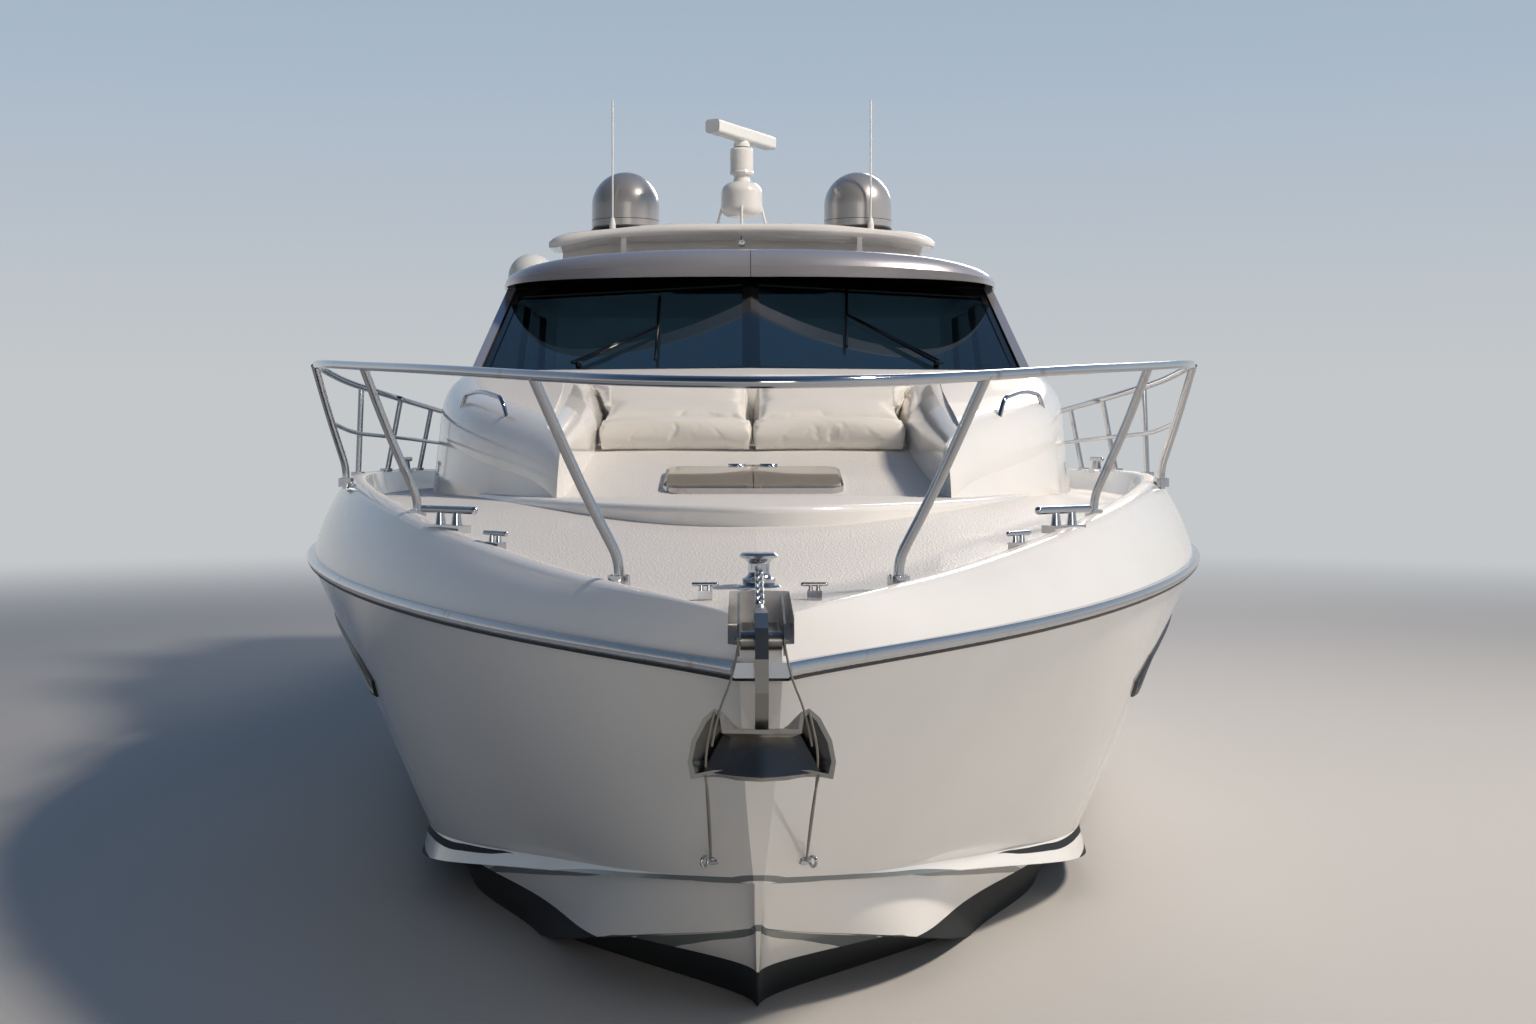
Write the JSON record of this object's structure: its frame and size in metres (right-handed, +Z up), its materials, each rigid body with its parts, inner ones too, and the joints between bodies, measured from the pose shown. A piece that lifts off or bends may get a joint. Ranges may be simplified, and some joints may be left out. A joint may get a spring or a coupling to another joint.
{
  "type": "hardtop motor cruiser",
  "caption": "Hardtop motor cruiser afloat: planing hull, sunpad foredeck, bow rail, plough anchor, raked screen, roof radar and domes, open cockpit and bathing platform.",
  "frame": {"origin": "on the waterline, on the centreline, 7.3 m aft of the nose of the rub rail", "axes": "+Z up, bow towards -Y, port side towards +X"},
  "size_m": [4.7482, 14.995, 5.7234],
  "materials": {
    "topsides": "white gelcoat topsides over dark antifouling",
    "gelcoat": "polished white gelcoat",
    "polished_steel": "mirror polished stainless steel",
    "dark_glass": "dark tinted glass",
    "tinted_glass": "smoke tinted glass",
    "black_trim": "gloss black",
    "silver_paint": "metallic grey paint",
    "dome_paint": "dark metallic grey paint",
    "white_plastic": "satin white",
    "vinyl": "off-white marine vinyl",
    "teak": "oiled teak planking",
    "joinery": "satin varnished wood",
    "console_plastic": "matt grey",
    "brushed_alloy": "brushed",
    "bronze": "cast bronze",
    "engine_paint": "light grey enamel",
    "black_plastic": "satin black",
    "black_leather": "stitched black leather"
  },
  "bodies": {
    "boat": {"hull": "topsides", "deck": "gelcoat", "rub_rail": "polished_steel", "coachroof": "gelcoat", "hull_windows": "dark_glass", "swim_platform": "gelcoat", "cockpit_sole": "teak", "side_frames": "silver_paint", "side_windows": "dark_glass", "windscreen_frame": "black_trim", "windscreen_glass": "tinted_glass", "hardtop": "silver_paint", "radar_wing": "gelcoat", "roof_domes": "dome_paint", "aerials": "white_plastic", "deck_rails": "polished_steel", "deck_fittings": "polished_steel", "bow_roller": "polished_steel", "anchor": "polished_steel", "anchor_chain": "polished_steel", "windlass_base": "polished_steel", "hatch_frame": "polished_steel", "bow_sunpad": "vinyl", "helm_console": "console_plastic", "helm_seat": "vinyl", "saloon": "joinery", "settee_cushions": "vinyl", "door_tracks": "brushed_alloy", "stern_locker": "gelcoat", "stern_gear": "bronze", "engines": "engine_paint"},
    "scanner": {"radar_scanner": "white_plastic"},
    "windlass": {"windlass_drum": "polished_steel"},
    "hatch": {"hatch_lid": "tinted_glass"},
    "wiper_left": {"wiper_starboard": "black_plastic"},
    "wiper_right": {"wiper_port": "black_plastic"},
    "roof_panel": {"sunroof": "tinted_glass"},
    "wheel": {"steering_wheel": "black_leather"},
    "door": {"companionway_door": "tinted_glass"},
    "sunpad_lid": {"locker_lid": "gelcoat", "aft_sunpad": "vinyl"},
    "gate": {"stern_gate": "gelcoat"},
    "screw_port": {"propeller_port": "bronze"},
    "screw_starboard": {"propeller_starboard": "bronze"},
    "helm_port": {"rudder_port": "bronze"},
    "helm_starboard": {"rudder_starboard": "bronze"}
  },
  "joints": [
    {"name": "scanner_turn", "type": "hinge", "parent": "boat", "child": "scanner", "pos_m": [-0.06, 1.78, 4.2143], "axis": [0, 0, 1], "continuous": true},
    {"name": "windlass_turn", "type": "hinge", "parent": "boat", "child": "windlass", "pos_m": [0, -6.54, 1.56], "axis": [0, 0, 1], "continuous": true},
    {"name": "hatch_open", "type": "hinge", "parent": "boat", "child": "hatch", "pos_m": [0, -3.01552, 1.83839], "axis": [-1, 0, 0], "range_deg": [0, 75]},
    {"name": "wiper_port_sweep", "type": "hinge", "parent": "boat", "child": "wiper_right", "pos_m": [1.17312, -0.60706, 2.44218], "axis": [0.2209, -0.4335, 0.8737], "range_deg": [-45, 10]},
    {"name": "wiper_starboard_sweep", "type": "hinge", "parent": "boat", "child": "wiper_left", "pos_m": [-1.08568, -0.65603, 2.43999], "axis": [-0.2209, -0.4335, 0.8737], "range_deg": [-10, 55]},
    {"name": "sunroof_slide", "type": "slide", "parent": "boat", "child": "roof_panel", "axis": [0, 1, 0], "range_m": [0, 0.52]},
    {"name": "wheel_turn", "type": "hinge", "parent": "boat", "child": "wheel", "pos_m": [-1, 0.355, 1.965], "axis": [0, 0.788, 0.6157], "range_deg": [-540, 540]},
    {"name": "door_slide", "type": "slide", "parent": "boat", "child": "door", "axis": [-1, 0, 0], "range_m": [0, 0.7]},
    {"name": "sunpad_lid_open", "type": "hinge", "parent": "boat", "child": "sunpad_lid", "pos_m": [-0.235, 4.689, 1.45], "axis": [1, 0, 0], "range_deg": [0, 60]},
    {"name": "gate_swing", "type": "hinge", "parent": "boat", "child": "gate", "pos_m": [1.486, 6.416, 1.27], "axis": [0, 0, -1], "range_deg": [0, 90]},
    {"name": "propeller_port_turn", "type": "hinge", "parent": "boat", "child": "screw_port", "pos_m": [0.78, 5.65, -0.8945], "axis": [0, 0.9824, -0.1867], "continuous": true},
    {"name": "propeller_starboard_turn", "type": "hinge", "parent": "boat", "child": "screw_starboard", "pos_m": [-0.78, 5.65, -0.8945], "axis": [0, 0.9824, -0.1867], "continuous": true},
    {"name": "rudder_port_turn", "type": "hinge", "parent": "boat", "child": "helm_port", "pos_m": [0.78, 6.06, -0.56], "axis": [0, 0, 1], "range_deg": [-35, 35]},
    {"name": "rudder_starboard_turn", "type": "hinge", "parent": "boat", "child": "helm_starboard", "pos_m": [-0.78, 6.06, -0.56], "axis": [0, 0, 1], "range_deg": [-35, 35]}
  ],
  "couplings": [
    {"joint": "rudder_starboard_turn", "follows": "rudder_port_turn", "ratio": 1},
    {"joint": "wheel_turn", "follows": "rudder_port_turn", "ratio": -15}
  ]
}
